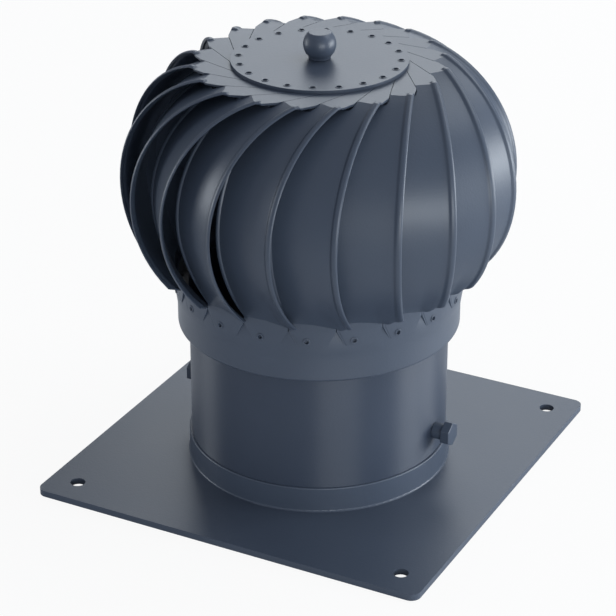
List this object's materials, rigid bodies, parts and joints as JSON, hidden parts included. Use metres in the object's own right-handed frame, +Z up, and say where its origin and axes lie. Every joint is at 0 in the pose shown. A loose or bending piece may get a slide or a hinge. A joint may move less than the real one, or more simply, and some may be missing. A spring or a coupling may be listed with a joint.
{
  "type": "rotating chimney cowl",
  "caption": "Rotating chimney cowl: a head of curved overlapping vanes between a top disc and a lower ring spins on a spindle above a round neck tube on a square base plate.",
  "frame": {"origin": "centre of the base plate's underside, on the spin axis", "axes": "+Z up along the spin axis; X and Y along the sides of the square plate; the two clamp bolts lie along X"},
  "size_m": [0.25, 0.25, 0.2725],
  "materials": {
    "cowl_plastic": "fine satin anthracite, evenly coloured through",
    "dark_fastener": "satin anthracite coating",
    "bare_steel": "turned and zinc plated"
  },
  "bodies": {
    "base": {"base_plate": "cowl_plastic", "neck_tube": "cowl_plastic", "crossbar": "bare_steel", "clamp_bolts": "dark_fastener", "clamp_spacers": "dark_fastener", "clamp_nuts": "bare_steel", "spindle": "bare_steel", "spindle_nuts": "bare_steel", "spindle_clip": "bare_steel", "inner_spacer": "bare_steel", "lower_bearing_inner_race": "bare_steel", "upper_bearing_inner_race": "bare_steel"},
    "head": {"top_disc": "cowl_plastic", "top_rivets": "dark_fastener", "bearing_housing": "cowl_plastic", "outer_spacer": "bare_steel", "housing_clip": "bare_steel", "ball_knob": "cowl_plastic", "lower_ring": "cowl_plastic", "ring_rivets": "dark_fastener", "lower_bearing_outer_race": "bare_steel", "upper_bearing_outer_race": "bare_steel", "vane_01": "cowl_plastic", "vane_02": "cowl_plastic", "vane_03": "cowl_plastic", "vane_04": "cowl_plastic", "vane_05": "cowl_plastic", "vane_06": "cowl_plastic", "vane_07": "cowl_plastic", "vane_08": "cowl_plastic", "vane_09": "cowl_plastic", "vane_10": "cowl_plastic", "vane_11": "cowl_plastic", "vane_12": "cowl_plastic", "vane_13": "cowl_plastic", "vane_14": "cowl_plastic", "vane_15": "cowl_plastic", "vane_16": "cowl_plastic", "vane_17": "cowl_plastic", "vane_18": "cowl_plastic", "vane_19": "cowl_plastic", "vane_20": "cowl_plastic"}
  },
  "joints": [
    {"name": "head_spin", "type": "hinge", "parent": "base", "child": "head", "pos_m": [0, 0, 0.2], "axis": [0, 0, 1], "continuous": true}
  ]
}
